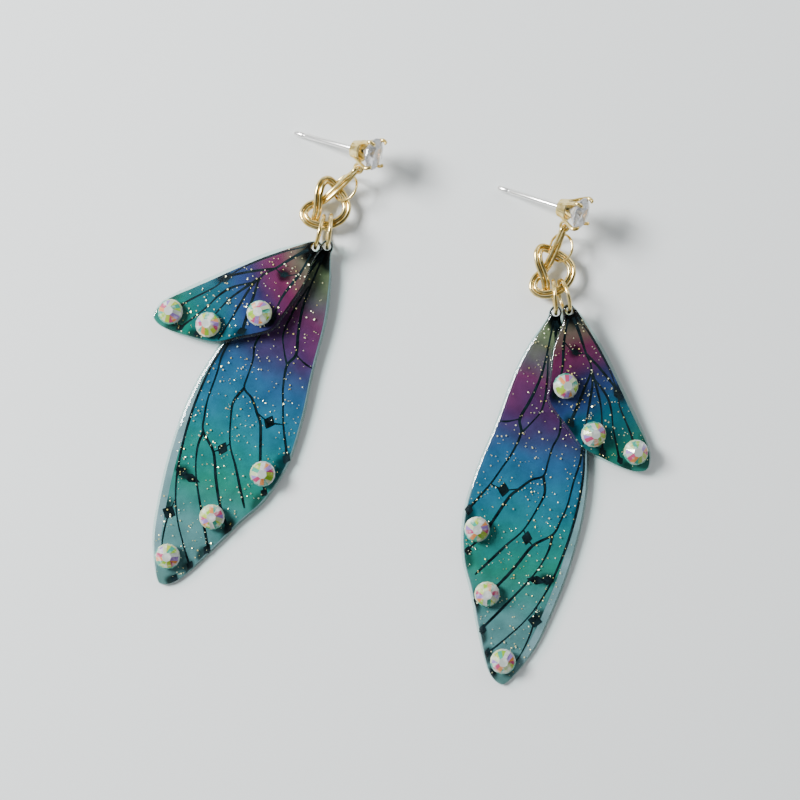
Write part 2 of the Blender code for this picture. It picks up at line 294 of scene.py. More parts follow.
def wire(points: list[Vector], radii: float | list[float], sides: int = 3) -> bpy.types.Object:
    """Makes a round wire, from a path turned into a mesh and closed at both ends.

    Args:
        points: the wire's middle line.
        radii: its radius, or the radius at each point.
        sides: the bevel's resolution, from 1 for six sides up.

    Returns:
        The wire.
    """
    deselect()
    bpy.ops.curve.primitive_nurbs_path_add(location=(0, 0, 0))
    made = bpy.context.object
    curve = made.data
    curve.splines.clear()
    spline = curve.splines.new("POLY")
    spline.points.add(len(points) - 1)
    thickest = max(radii) if isinstance(radii, list) else radii
    for index, point in enumerate(points):
        spline.points[index].co = (*point, 1.0)
        spline.points[index].radius = radii[index] / thickest if isinstance(radii, list) else 1.0
    curve.bevel_depth = thickest
    curve.bevel_resolution = sides
    curve.use_fill_caps = True
    pick(made)
    bpy.ops.object.convert(target="MESH")
    made = bpy.context.object
    close_up(made)
    return made


def rounded(points: list[Vector], radius: float, steps: int = 4) -> tuple[list[Vector], list[float]]:
    """Adds half-round ends to a wire's path.

    Args:
        points: the wire's path.
        radius: the wire's radius.
        steps: rings in each round end.

    Returns:
        The longer path and the radius at each of its points.
    """
    lead, tail = [], []
    for step in range(steps):
        angle = math.pi / 2 * (1 - (step + 0.35) / steps)
        reach = math.sin(angle) * radius
        thin = max(math.cos(angle), 0.08) * radius
        lead.append((points[0] + (points[0] - points[1]).normalized() * reach, thin))
        tail.append((points[-1] + (points[-1] - points[-2]).normalized() * reach, thin))
    path = [*lead, *((point, radius) for point in points), *reversed(tail)]
    return [point for point, _ in path], [thickness for _, thickness in path]


def outline_face(points: list[Vector]) -> bpy.types.Object:
    """Makes a flat face from a circle of as many points.

    Args:
        points: the face's outline.

    Returns:
        The face.
    """
    deselect()
    bpy.ops.mesh.primitive_circle_add(vertices=len(points), radius=1.0, fill_type="NOTHING")
    made = bpy.context.object
    for vertex, point in zip(made.data.vertices, points):
        vertex.co = point
    bpy.ops.object.mode_set(mode="EDIT")
    bpy.ops.mesh.select_all(action="SELECT")
    bpy.ops.mesh.edge_face_add()
    bpy.ops.mesh.normals_make_consistent(inside=False)
    bpy.ops.object.mode_set(mode="OBJECT")
    return made


def gem(rings: list[tuple[int, float, float, float]]) -> bpy.types.Object:
    """Cuts a stone: the convex hull of rings of points, each facet flat.

    Args:
        rings: each ring's count of points, radius, height and turn in steps of half a point.

    Returns:
        The hull, with its axis on +Z.
    """
    deselect()
    bpy.ops.mesh.primitive_circle_add(vertices=3, radius=1.0)
    made = bpy.context.object
    bm = bmesh.new()
    for count, radius, height, turn in rings:
        for index in range(count):
            angle = math.tau * (index + 0.5 * turn) / count
            bm.verts.new((radius * math.cos(angle), radius * math.sin(angle), height))
    bm.to_mesh(made.data)
    bm.free()
    bpy.ops.object.mode_set(mode="EDIT")
    bpy.ops.mesh.select_all(action="SELECT")
    bpy.ops.mesh.convex_hull()
    bpy.ops.mesh.dissolve_limited(angle_limit=math.radians(FLAT_DEGREES))
    bpy.ops.object.mode_set(mode="OBJECT")
    return made


# ---------------------------------------------------------------- finishes


NOISE_LOW, NOISE_HIGH = 0.3, 0.7  # the range that the noise keeps to nearly everywhere


@dataclass(frozen=True)
class GoldPlate:
    """Gold plated on drawn brass wire and polished.

    To the eye it is a pale, warm mirror, a little darker and duller along faint drawing marks.
    """

    colour: str = "#f4dfa0"
    worn: str = "#dfc070"
    roughness: float = 0.15
    mark_mm: float = 0.9
    mark_depth_mm: float = 0.02

    def material(self) -> bpy.types.Material:
        """Builds the finish.

        Returns:
            The material.
        """
        made, tree, out = new_material("bright gold plate")
        coords = add_node(tree, "TexCoord")
        marks = add_node(
            tree, "TexNoise", {"Vector": coords.outputs["Object"], "Scale": 1 / (self.mark_mm * MM)}
        )
        tint = add_node(
            tree, "ValToRGB", {0: marks.outputs["Fac"]}, stops=((0.35, self.worn), (0.65, self.colour))
        )
        rough = add_node(
            tree, "MapRange",
            {0: marks.outputs["Fac"], 3: self.roughness * 0.7, 4: self.roughness * 1.5},
        )
        bump = add_node(
            tree, "Bump",
            {"Strength": 0.06, "Distance": self.mark_depth_mm * MM, "Height": marks.outputs["Fac"]},
        )
        shader = add_node(
            tree, "BsdfPrincipled",
            {"Base Color": tint.outputs["Color"], "Roughness": rough.outputs[0], "Metallic": 1.0,
             "Normal": bump.outputs["Normal"]},
        )
        tree.links.new(shader.outputs[0], out.inputs["Surface"])
        return made


@dataclass(frozen=True)
class SilverPost:
    """Silver plated on drawn steel wire.

    To the eye it is a white mirror, slightly duller in patches.
    """

    colour: str = "#f4f2ef"
    roughness: float = 0.2
    grain_mm: float = 0.35

    def material(self) -> bpy.types.Material:
        """Builds the finish.

        Returns:
            The material.
        """
        made, tree, out = new_material("silver plated post")
        coords = add_node(tree, "TexCoord")
        grain = add_node(
            tree, "TexNoise", {"Vector": coords.outputs["Object"], "Scale": 1 / (self.grain_mm * MM)}
        )
        rough = add_node(
            tree, "MapRange",
            {0: grain.outputs["Fac"], 3: self.roughness * 0.8, 4: self.roughness * 1.3},
        )
        shader = add_node(
            tree, "BsdfPrincipled",
            {"Base Color": linear(self.colour), "Roughness": rough.outputs[0], "Metallic": 1.0},
        )
        tree.links.new(shader.outputs[0], out.inputs["Surface"])
        return made


@dataclass(frozen=True)
class Zirconia:
    """Cubic zirconia, cut and polished.

    To the eye it is clear with hard white flashes, because its index is very high.
    """

    colour: str = "#fbfcff"
    index: float = 2.15
    clearness: float = 0.8

    def material(self) -> bpy.types.Material:
        """Builds the finish.

        Returns:
            The material.
        """
        made, tree, out = new_material("cut cubic zirconia")
        shader = add_node(
            tree, "BsdfPrincipled",
            {"Base Color": linear(self.colour), "Roughness": 0.0, "IOR": self.index,
             "Transmission Weight": self.clearness},
        )
        tree.links.new(shader.outputs[0], out.inputs["Surface"])
        return made


@dataclass(frozen=True)
class FoiledCrystal:
    """Cut glass flat-back with a foiled base and an iridescent coat.

    Each facet carries a painted reflection: a hue of its own in place of the iridescent coat's flash, paler
    in places with a painted white glint.
    """

    # painted reflections: each facet's fixed hue stands in for the colour that the iridescent coat reflects
    reflection_hues: tuple[str, ...] = (
        "#a7afa9", "#a13a5e", "#98ad35", "#2f8c76", "#c07a42", "#866bab", "#a8b38c", "#7ca423",
    )
    # painted glint: the near-white that each facet's painted reflection hue runs to in places
    flash: str = "#f4f4f0"
    cloud_mm: float = 0.9
    roughness: float = 0.2
    coat: float = 0.2

    def materials(self) -> list[bpy.types.Material]:
        """Builds one material for each painted reflection hue that a facet can carry.

        Returns:
            The materials, in the order of the hues.
        """
        found = []
        for number, hue in enumerate(self.reflection_hues):
            made, tree, out = new_material(f"foiled crystal painted reflection {number + 1}")
            coords = add_node(tree, "TexCoord")
            cloud = add_node(
                tree, "TexNoise", {"Vector": coords.outputs["Object"], "Scale": 1 / (self.cloud_mm * MM)}
            )
            # the noise runs each painted reflection hue to the painted white glint in places
            tint = add_node(
                tree, "ValToRGB", {0: cloud.outputs["Fac"]}, stops=((0.5, hue), (0.95, self.flash))
            )
            shader = add_node(
                tree, "BsdfPrincipled",
                {"Base Color": tint.outputs["Color"], "Roughness": self.roughness, "Metallic": 0.15,
                 "Specular IOR Level": 0.3, "Coat Weight": self.coat, "Coat Roughness": 0.02,
                 "Coat IOR": 1.6},
            )
            tree.links.new(shader.outputs[0], out.inputs["Surface"])
            found.append(made)
        return found


@dataclass(frozen=True)
class ClearResin:
    """Epoxy resin, cast as a dome and cured glossy.

    To the eye it is clear where looked at squarely, and a mirror at its rounded rim and at a low angle.
    """

    index: float = 1.55
    tint: str = "#f3fbfa"
    roughness: float = 0.04
    sag_mm: float = 5.0
    sag_depth_mm: float = 0.25

    def material(self) -> bpy.types.Material:
        """Builds the finish. Faces seen from within don't mirror, so the print isn't darkened.

        Returns:
            The material.
        """
        made, tree, out = new_material("clear epoxy resin")
        coords = add_node(tree, "TexCoord")
        sag = add_node(
            tree, "TexNoise", {"Vector": coords.outputs["Object"], "Scale": 1 / (self.sag_mm * MM)}
        )
        bump = add_node(
            tree, "Bump",
            {"Strength": 0.1, "Distance": self.sag_depth_mm * MM, "Height": sag.outputs["Fac"]},
        )
        skin = add_node(tree, "Fresnel", {"IOR": self.index, "Normal": bump.outputs["Normal"]})
        clear = add_node(tree, "BsdfTransparent", {"Color": linear(self.tint)})
        gloss = add_node(
            tree, "BsdfGlossy", {"Roughness": self.roughness, "Normal": bump.outputs["Normal"]}
        )
        side = add_node(tree, "NewGeometry")
        outside = add_node(tree, "Math", {0: 1.0, 1: side.outputs["Backfacing"]}, operation="SUBTRACT")
        mirror = add_node(
            tree, "Math", {0: skin.outputs[0], 1: outside.outputs[0]}, operation="MULTIPLY"
        )
        both = add_node(
            tree, "MixShader", {0: mirror.outputs[0], 1: clear.outputs[0], 2: gloss.outputs[0]}
        )
        tree.links.new(both.outputs[0], out.inputs["Surface"])
        return made


@dataclass(frozen=True)
class PrintedFilm:
    """Polyester film printed with the wing's colours, matt under the resin.

    To the eye the colours run from the root to the tip with soft, wavy borders, cloudy from place to
    place, with soft black smudges at the root and the edges.
    """

    name: str
    length: float
    mirror: int
    stops: tuple[tuple[float, str], ...]
    smudges: tuple[tuple[float, float, float, float, float], ...]
    drift_mm: float = 7.0
    blot_mm: float = 2.2
    ruffle_mm: float = 1.5
    waver: float = 0.035
    darkest: float = 0.58
    lightest: float = 0.86
    smudge_core: float = 0.35

    def smudge(
        self, tree: bpy.types.NodeTree, local: bpy.types.NodeSocket, spec: tuple[float, ...]
    ) -> bpy.types.NodeSocket:
        """Adds one soft black smudge.

        Args:
            tree: the material's node tree.
            local: the wavering point in the wing's own frame.
            spec: place u and v, half sizes along and across in millimetres, and the darkness.

        Returns:
            The share of the print's tone that is left, from 1 outside to 1 - darkness in the middle.
        """
        u, v, along, across, dark = spec
        near = add_node(
            tree, "Mapping",
            {"Vector": local, "Location": (u * MM, v * self.mirror * MM, 0),
             "Scale": (along * MM, across * MM, 1)},
            vector_type="TEXTURE",
        )
        reach = add_node(tree, "VectorMath", {0: near.outputs[0]}, operation="LENGTH")
        left = add_node(
            tree, "MapRange",
            {0: reach.outputs["Value"], 1: self.smudge_core, 2: 1.0, 3: 1.0 - dark, 4: 1.0},
            interpolation_type="SMOOTHSTEP",
        )
        return left.outputs[0]

    def material(self, place: Matrix) -> bpy.types.Material:
        """Builds the print in one wing's own frame.

        Args:
            place: the wing's frame, with +X along the wing from its hole.

        Returns:
            The material.
        """
        made, tree, out = new_material(f"printed film {self.name}")
        coords = add_node(tree, "TexCoord")
        local = add_node(
            tree, "Mapping",
            {"Vector": coords.outputs["Object"], "Location": place.translation,
             "Rotation": place.to_euler()},
            vector_type="TEXTURE",
        )
        drift = add_node(
            tree, "TexNoise",
            {"Vector": local.outputs[0], "Scale": 1 / (self.drift_mm * MM), "Detail": 3.0},
        )
        blot = add_node(
            tree, "TexNoise",
            {"Vector": local.outputs[0], "Scale": 1 / (self.blot_mm * MM), "Detail": 4.0},
        )
        axes = add_node(tree, "SeparateXYZ", {0: local.outputs[0]})
        along = add_node(tree, "MapRange", {0: axes.outputs["X"], 1: 0.0, 2: self.length})
        waver = add_node(
            tree, "MapRange",
            {0: drift.outputs["Fac"], 1: NOISE_LOW, 2: NOISE_HIGH, 3: -self.waver, 4: self.waver},
        )
        where = add_node(tree, "Math", {0: along.outputs[0], 1: waver.outputs[0]}, operation="ADD")
        colour = add_node(tree, "ValToRGB", {0: where.outputs[0]}, stops=self.stops)
        shade = add_node(
            tree, "MapRange",
            {0: blot.outputs["Fac"], 1: NOISE_LOW, 2: NOISE_HIGH, 3: self.darkest, 4: self.lightest},
        )
        reach = self.ruffle_mm * MM
        ruffle = add_node(
            tree, "VectorMath", {0: blot.outputs["Color"], 1: (reach, reach, 0.0)}, operation="MULTIPLY"
        )
        ruffled = add_node(
            tree, "VectorMath", {0: local.outputs[0], 1: ruffle.outputs[0]}, operation="ADD"
        )
        flat = add_node(
            tree, "VectorMath", {0: ruffled.outputs[0], 1: (1.0, 1.0, 0.0)}, operation="MULTIPLY"
        )
        centred = add_node(
            tree, "VectorMath", {0: flat.outputs[0], 1: (reach / 2, reach / 2, 0.0)},
            operation="SUBTRACT",
        )
        light = shade.outputs[0]
        for spec in self.smudges:
            patch = self.smudge(tree, centred.outputs[0], spec)
            light = add_node(tree, "Math", {0: light, 1: patch}, operation="MULTIPLY").outputs[0]
        tone = add_node(tree, "HueSaturation", {"Color": colour.outputs["Color"], "Value": light})
        shader = add_node(
            tree, "BsdfPrincipled",
            {"Base Color": tone.outputs["Color"], "Roughness": 0.6, "Specular IOR Level": 0.0},
        )
        tree.links.new(shader.outputs[0], out.inputs["Surface"])
        return made


@dataclass(frozen=True)
class PlainTone:
    """A finish of one tone that drifts to a second one.

    The carrier film round the print is a misty grey margin under the resin, bare of print; its grey is a
    painted reflection of the glossy clear edge. The vein ink is screen ink, black and a little uneven, and it
    has no shine, because resin lies on it. The foil flecks are pale gold and shine softly, with a painted
    glint: their lighter tone runs to near-white.
    """

    name: str
    low: tuple[float, str]
    high: tuple[float, str]
    cloud_mm: float
    roughness: float
    metallic: float = 0.0
    specular: float = 0.5

    def material(self) -> bpy.types.Material:
        """Builds the finish.

        Returns:
            The material.
        """
        made, tree, out = new_material(self.name)
        coords = add_node(tree, "TexCoord")
        cloud = add_node(
            tree, "TexNoise", {"Vector": coords.outputs["Object"], "Scale": 1 / (self.cloud_mm * MM)}
        )
        tint = add_node(tree, "ValToRGB", {0: cloud.outputs["Fac"]}, stops=(self.low, self.high))
        shader = add_node(
            tree, "BsdfPrincipled",
            {"Base Color": tint.outputs["Color"], "Roughness": self.roughness,
             "Metallic": self.metallic, "Specular IOR Level": self.specular},
        )
        tree.links.new(shader.outputs[0], out.inputs["Surface"])
        return made


# painted reflection: the carrier film's misty grey stands in for the glossy clear edge's reflection
CARRIER_FILM_PAINTED_REFLECTION = PlainTone("carrier film painted reflection", (0.35, "#6d8489"), (0.7, "#8696a0"), 3.0, 0.6, specular=0.0)
VEIN_INK = PlainTone("black vein ink", (0.3, "#080c0e"), (0.75, "#1c2a30"), 1.2, 0.5, specular=0.0)
# partly painted glint: gold foil whose lighter stop runs to near-white in place of the flecks' glints
GOLD_FLECK_WITH_PAINTED_GLINT = PlainTone("gold foil fleck with painted glint", (0.35, "#efcf6e"), (0.6, "#fff6d0"), 1.5, 0.35, metallic=0.6)


@dataclass(frozen=True)
class PalePaper:
    """Plain pale backdrop paper.

    To the eye it is matt, with a faint tooth. The real tooth of about 0.1 mm is too fine to show, so it
    is drawn coarser.
    """

    colour: str = "#dfe3e3"
    roughness: float = 0.85
    tooth_mm: float = 0.6
    tooth_depth_mm: float = 0.02

    def material(self) -> bpy.types.Material:
        """Builds the finish.

        Returns:
            The material.
        """
        made, tree, out = new_material("pale paper")
        coords = add_node(tree, "TexCoord")
        tooth = add_node(
            tree, "TexNoise", {"Vector": coords.outputs["Object"], "Scale": 1 / (self.tooth_mm * MM)}
        )
        bump = add_node(
            tree, "Bump",
            {"Strength": 0.05, "Distance": self.tooth_depth_mm * MM, "Height": tooth.outputs["Fac"]},
        )
        shader = add_node(
            tree, "BsdfPrincipled",
            {"Base Color": linear(self.colour), "Roughness": self.roughness,
             "Normal": bump.outputs["Normal"]},
        )
        tree.links.new(shader.outputs[0], out.inputs["Surface"])
        return made


@dataclass(frozen=True)
class Finishes:
    """The materials that pieces share, each made once."""

    gold: bpy.types.Material
    silver: bpy.types.Material
    stone: bpy.types.Material
    crystal: list[bpy.types.Material]
    resin: bpy.types.Material
    ink: bpy.types.Material
    # carrier: the carrier film's painted reflection
    carrier: bpy.types.Material
    # fleck: gold foil with a painted glint in part
    fleck: bpy.types.Material


# ---------------------------------------------------------------- wings

@dataclass(frozen=True)
class WingPattern:
    """What both wings of one size share, in millimetres along and across the wing from its hole.

    A vein is its width and its route. A spot is its place and its half sizes. A smudge is its place, its
    half sizes and how dark it is. The print's stops are shares of the length.
    """

    size: str
    length: float
    back: float
    film: float
    dome: float
    clear_edge: float
    outline: Path2
    veins: tuple[tuple[float, Path2], ...]
    spots: tuple[tuple[float, float, float, float], ...]
    stops: tuple[tuple[float, str], ...]
    smudges: tuple[tuple[float, float, float, float, float], ...]
    flecks: int


BIG = WingPattern(
    size="big", length=49.3, back=0.4, film=0.12, dome=0.85, clear_edge=0.8, flecks=460,
    outline=(
        (-0.9, 0.0), (-0.65, 0.58), (0.0, 0.86), (1.0, 1.05), (4.5, 2.8), (9.0, 4.3), (15.4, 5.6),
        (21.5, 7.1),
        (27.8, 8.0), (33.5, 7.3), (37.7, 5.6), (42.3, 4.0), (47.5, 1.8), (49.3, 0.0), (48.7, -1.4),
        (44.6, -3.9), (40.5, -5.3), (33.0, -7.0), (25.0, -7.8), (18.0, -7.2), (10.0, -5.4), (4.5, -3.1),
        (1.0, -1.0), (0.0, -0.86), (-0.65, -0.58),
    ),
    veins=(
        (0.26, ((1.1, 0.1), (5.7, 0.3), (8.7, 0.65), (11.8, 1.5), (14.5, 2.5), (16.3, 2.05), (19.0, 2.8),
                (21.1, 3.8), (23.5, 5.0), (25.7, 6.4), (27.6, 7.6))),
        (0.18, ((14.5, 2.5), (15.05, 4.0), (15.2, 5.2))),
        (0.2, ((5.7, 0.1), (9.5, -0.3), (12.7, -0.2), (14.6, 0.8), (16.3, 2.05))),
        (0.26, ((1.1, -0.1), (5.0, -0.9), (10.0, -2.0), (15.0, -2.95), (17.5, -2.3), (19.6, -2.0),
                (21.4, -1.7), (22.2, -0.2), (23.6, 1.2), (24.8, 2.3), (27.7, 3.7), (29.6, 4.6), (31.2, 5.6),
                (32.9, 7.0))),
        (0.24, ((21.4, -1.7), (23.5, -2.2), (25.4, -1.7), (28.8, -0.2), (31.1, 1.7), (33.1, 3.25),
                (35.6, 5.2))),
        (0.26, ((1.1, -0.25), (5.0, -2.2), (10.0, -4.2), (15.0, -5.75), (18.4, -6.2), (21.4, -5.75),
                (24.7, -5.4), (27.0, -4.8), (28.9, -4.05), (30.7, -1.7), (33.7, 0.1), (36.6, 2.1),
                (39.2, 4.6))),
        (0.24, ((28.9, -4.05), (30.8, -3.9), (32.9, -3.2), (35.0, -2.1), (37.9, -0.1), (40.4, 1.7),
                (42.3, 3.1), (43.0, 3.5))),
        (0.22, ((10.0, -4.6), (15.0, -6.0), (20.0, -6.8), (25.0, -6.75), (30.0, -6.1), (34.9, -4.9),
                (38.4, -3.5), (40.9, -2.0), (43.0, -0.3), (44.8, 1.3), (45.8, 2.3))),
        (0.18, ((23.6, 1.2), (24.0, 3.2), (23.5, 5.0))),
        (0.18, ((28.8, -0.2), (29.8, -0.8), (30.7, -1.7))),
        (0.16, ((38.4, -3.5), (41.5, -3.3), (44.3, -2.6), (46.6, -1.6))),
    ),
    spots=(
        (24.0, 3.2, 0.75, 0.6), (29.8, -0.8, 0.75, 0.55), (35.1, -2.9, 0.45, 1.05), (34.9, -4.3, 0.5, 0.7),
        (40.4, -3.5, 0.7, 0.75), (27.3, 7.3, 0.6, 0.45), (38.9, 4.4, 0.7, 0.4), (42.6, 3.1, 0.6, 0.4),
        (45.5, 2.0, 0.55, 0.35), (47.9, 0.9, 0.5, 0.4), (32.6, 6.6, 0.5, 0.4),
    ),
    stops=(
        (0.0, "#0d1210"), (0.028, "#1a1f1c"), (0.05, "#77795a"), (0.095, "#726e5b"), (0.15, "#6b5664"),
        (0.21, "#7f3663"), (0.28, "#5b3162"), (0.33, "#474a79"), (0.4, "#37618f"), (0.5, "#317593"),
        (0.58, "#288087"), (0.68, "#348979"), (0.76, "#458783"), (0.84, "#678e92"), (0.93, "#6f9497"),
        (1.0, "#63817e"),
    ),
    smudges=(
        (0.6, 0.0, 2.6, 1.6, 0.9), (28.0, 7.4, 2.2, 1.6, 0.8), (34.8, -4.2, 1.3, 1.9, 0.85),
        (40.0, -4.2, 1.8, 1.5, 0.85), (39.0, 4.6, 2.2, 1.3, 0.9), (43.4, 3.1, 1.9, 1.2, 0.8),
        (45.9, 2.0, 1.6, 1.2, 0.8), (48.2, 0.9, 1.5, 1.2, 0.85), (34.0, 6.4, 1.8, 1.2, 0.6),
        (15.0, -6.6, 9.0, 1.1, 0.45), (27.0, -7.2, 7.0, 1.0, 0.4),
    ),
)

SMALL = WingPattern(
    size="small", length=23.2, back=0.3, film=0.12, dome=0.65, clear_edge=0.0, flecks=190,
    outline=(
        (-0.95, 0.0), (-0.7, 0.62), (0.0, 0.95), (1.2, 1.9), (3.2, 4.2), (7.2, 7.1), (9.3, 8.2), (13.6, 7.6),
        (16.9, 7.0), (19.4, 5.2), (21.8, 3.2), (23.1, 1.5), (23.0, 0.1), (20.4, -1.2), (14.1, -1.6),
        (6.5, -1.8), (1.4, -1.25), (0.0, -0.95), (-0.7, -0.62),
    ),
    veins=(
        (0.26, ((0.9, 0.6), (3.2, 2.5), (6.4, 4.5), (9.0, 7.2))),
        (0.28, ((1.0, -0.1), (3.0, 0.1), (5.9, 0.6), (8.1, 0.95), (9.9, 3.0), (12.0, 5.6), (13.0, 7.0))),
        (0.22, ((8.1, 0.95), (10.1, 1.9), (12.9, 4.1), (16.2, 6.6))),
        (0.22, ((8.1, 0.95), (9.3, 1.2), (12.6, 2.0), (14.9, 3.0), (18.9, 5.1))),
        (0.22, ((9.3, 1.2), (12.0, 0.8), (14.0, 1.1), (16.5, 2.1), (20.9, 3.4))),
        (0.22, ((5.9, 0.6), (8.9, -0.2), (12.3, -0.75), (14.2, -0.1), (18.2, 0.3), (22.2, 1.1))),
        (0.16, ((3.2, 2.5), (5.1, 1.9), (5.9, 0.6))),
        (0.2, ((1.2, -0.6), (4.5, -1.1), (9.0, -1.2), (12.3, -0.75))),
    ),
    spots=(
        (5.1, 1.8, 0.45, 0.35), (12.6, -0.6, 0.65, 0.4), (8.8, 6.8, 0.6, 0.45), (12.9, 6.7, 0.6, 0.4),
        (18.4, 4.8, 0.55, 0.4), (20.4, 3.2, 0.5, 0.35),
    ),
    stops=(
        (0.0, "#0e120f"), (0.045, "#1a1b16"), (0.08, "#716255"), (0.15, "#744e4c"), (0.22, "#7d2b53"),
        (0.31, "#6c2b56"), (0.39, "#3d3161"), (0.5, "#34487f"), (0.6, "#276279"), (0.72, "#1d6b71"),
        (0.85, "#1b7464"), (1.0, "#368378"),
    ),
    smudges=(
        (0.8, 0.2, 2.4, 1.8, 0.9), (5.1, 1.8, 1.3, 1.1, 0.8), (12.6, -0.9, 1.8, 1.0, 0.85),
        (8.4, 7.0, 2.0, 1.4, 0.75), (13.4, 7.0, 1.9, 1.2, 0.75), (18.8, 5.0, 1.6, 1.2, 0.7),
        (21.6, 3.0, 1.4, 1.1, 0.7), (20.8, -0.8, 2.6, 0.9, 0.5),
    ),
)


@dataclass
class Wing:
    """One resin wing with its layers, veins, glitter and crystals.

    Sizes are in millimetres. The back coat's profile is (height, inset), and the dome's is (share of its
    height, inset). A crystal's rings are (points, radius, height).
    """

    side: str
    pattern: WingPattern
    hole: tuple[float, float, float]
    heading: float
    dip: float
    roll: float
    mirror: int
    crystals: Path2
    finishes: Finishes
    hole_radius: float = 0.52
    back_profile: Path2 = ((0.0, 0.2), (0.06, 0.07), (0.16, 0.01), (0.24, 0.0))
    dome_profile: Path2 = (
        (0.0, 0.0), (0.3, 0.0), (0.48, 0.04), (0.6, 0.14), (0.72, 0.34), (0.82, 0.58), (0.89, 0.85),
        (0.95, 1.25), (1.0, 2.1),
    )
    print_inset: float = 0.42
    carrier_inset: float = 0.3
    carrier_levels: tuple[float, float] = (-0.015, 0.09)
    root_reach: float = 5.0
    tip_reach: float = 6.0
    least_inset: float = 0.2
    lead_offset: float = 2.0
    lead_start: float = 0.35
    lead_reach: float = 8.0
    vein_spread: float = 0.62
    vein_swell: float = 0.25
    vein_waves: float = 9.0
    vein_end: float = 0.7
    ink_flatness: float = 0.12
    spot_depth: float = 0.25
    spot_spread: float = 1.3
    spot_pinch: float = 0.85
    fleck_sizes: tuple[float, ...] = (0.05, 0.06, 0.075, 0.11)
    fleck_lift: tuple[float, float] = (0.1, 0.25)
    fleck_tilt: float = 0.5
    fleck_inset: float = 0.6
    fleck_root: float = 1.5
    fleck_tip: float = 1.0
    fleck_reach: float = 8.5
    crystal_rings: tuple[tuple[int, float, float], ...] = (
        (16, 1.5, -0.12), (16, 1.68, 0.0), (16, 1.68, 0.16), (16, 1.5, 0.42), (8, 0.62, 1.22),
    )
    girdle_top: float = 0.3
    # painted reflection hues of the girdle facets, as indices into the crystal materials
    girdle_reflection_hues: tuple[int, ...] = (0, 6, 3)

    @property
    def body(self) -> str:
        """The CAD body that the wing is, whose name starts its nodes' names too."""
        return f"{self.side}_{self.pattern.size}_wing"

    def place(self) -> Matrix:
        """Finds the wing's frame.

        Returns:
            The frame, with its origin in the hole at the back face, +X to the tip and +Z up.
        """
        turn = (
            Matrix.Rotation(math.radians(self.heading), 4, "Z")
            @ Matrix.Rotation(math.radians(self.dip), 4, "Y")
            @ Matrix.Rotation(math.radians(self.roll) * self.mirror, 4, "X")
        )
        return Matrix.Translation(Vector(self.hole) * MM + PAIR_SHIFT) @ turn

    def outline(self, inset: float = 0.0, lead: float = 0.0) -> list[Vector]:
        """Draws the wing's smooth outline, shrunk inwards.

        Args:
            inset: how far it is drawn in, in millimetres; less near the root and the tip, which are narrow.
            lead: how much further it is drawn in along the outer part of the leading edge.

        Returns:
            The outline's points, in metres, in the wing's own frame.
        """
        length = self.pattern.length
        corners = [Vector((u, v * self.mirror, 0.0)) * MM for u, v in self.pattern.outline]
        points = through(corners, 6, closed=True)
        found = []
        for index, point in enumerate(points):
            along = (points[(index + 1) % len(points)] - points[index - 1]).normalized()
            reach = min(point.x / (self.root_reach * MM), (length * MM - point.x) / (self.tip_reach * MM))
            share = self.least_inset + (1 - self.least_inset) * clamp(reach)
            outer = clamp((point.x / MM - self.lead_start * length) / self.lead_reach)
            front = clamp(-point.y * self.mirror / MM - self.lead_offset) * outer
            draw = (inset * share + lead * front) * MM
            found.append(point + Vector((along.y, -along.x, 0.0)) * self.mirror * draw)
        return found

    def drill(self, made: bpy.types.Object) -> None:
        """Takes the ring hole out of a layer.

        Args:
            made: the layer, still in the wing's own frame.
        """
        deselect()
        bpy.ops.mesh.primitive_cylinder_add(vertices=40, radius=self.hole_radius * MM, depth=8 * MM)
        cutter = bpy.context.object
        apply_modifier(made, "BOOLEAN", operation="DIFFERENCE", object=cutter)
        bpy.data.objects.remove(cutter)

    def layer(self, levels: list[tuple[float, float]], lead: float = 0.0) -> bpy.types.Object:
        """Casts a layer: the outline's face extruded and drawn in level by level, then drilled.

        Args:
            levels: heights and insets in millimetres, from the bottom up.
            lead: how much further the layer is drawn in along the outer part of the leading edge.

        Returns:
            The layer, in the wing's own frame.
        """
        height, inset = levels[0]
        ring = self.outline(inset, lead)
        made = outline_face(ring)
        made.data.transform(Matrix.Translation((0, 0, height * MM)))
        for level, draw in levels[1:]:
            pick(made)
            bpy.ops.object.mode_set(mode="EDIT")
            bpy.ops.mesh.extrude_region_move(
                TRANSFORM_OT_translate={"value": (0, 0, (level - height) * MM)}
            )
            bpy.ops.object.mode_set(mode="OBJECT")
            drawn = self.outline(draw, lead)
            for vertex in made.data.vertices:
                if vertex.select:
                    flat = vertex.co.xy
                    nearest = min(range(len(ring)), key=lambda i: (ring[i].xy - flat).length_squared)
                    vertex.co.x, vertex.co.y = drawn[nearest].x, drawn[nearest].y
            height, ring = level, drawn
        close_up(made, merge=False)
        self.drill(made)
        return made

    def build(self) -> None:
        """Builds every piece of the wing, from its back coat up to its crystals."""
        pattern, place, name, finishes = self.pattern, self.place(), self.body, self.finishes
        film = pattern.back + GAP
        front = film + pattern.film + GAP
        top = front + pattern.dome
        print_finish = PrintedFilm(
            name, pattern.length * MM, self.mirror, pattern.stops, pattern.smudges
        ).material(place)

        back = self.layer([*self.back_profile, (pattern.back, 0.0)])
        settle(back, f"{name}_back_coat", place)
        register(back, name, Slot.RESIN, finishes.resin, f"{name}_back")

        inset = self.print_inset
        sheet = self.layer([(film, inset), (film + pattern.film, inset)], pattern.clear_edge)
        settle(sheet, f"{name}_printed_sheet", place)
        register(sheet, name, Slot.PRINT, print_finish, f"{name}_print")

        if pattern.clear_edge:
            # carrier film along the clear edge, coloured with a painted reflection
            carrier = self.layer([(film + level, self.carrier_inset) for level in self.carrier_levels])
            settle(carrier, f"{name}_carrier_film", place)
            register(carrier, name, Slot.PRINT, finishes.carrier)

        dome = self.layer([(front + share * pattern.dome, draw) for share, draw in self.dome_profile])
        settle(dome, f"{name}_cast_dome", place, 60)
        register(dome, name, Slot.RESIN, finishes.resin, f"{name}_dome")

        self.veins(film + pattern.film, place)
        self.glitter(front, place)
        self.set_crystals(top + GAP, place)

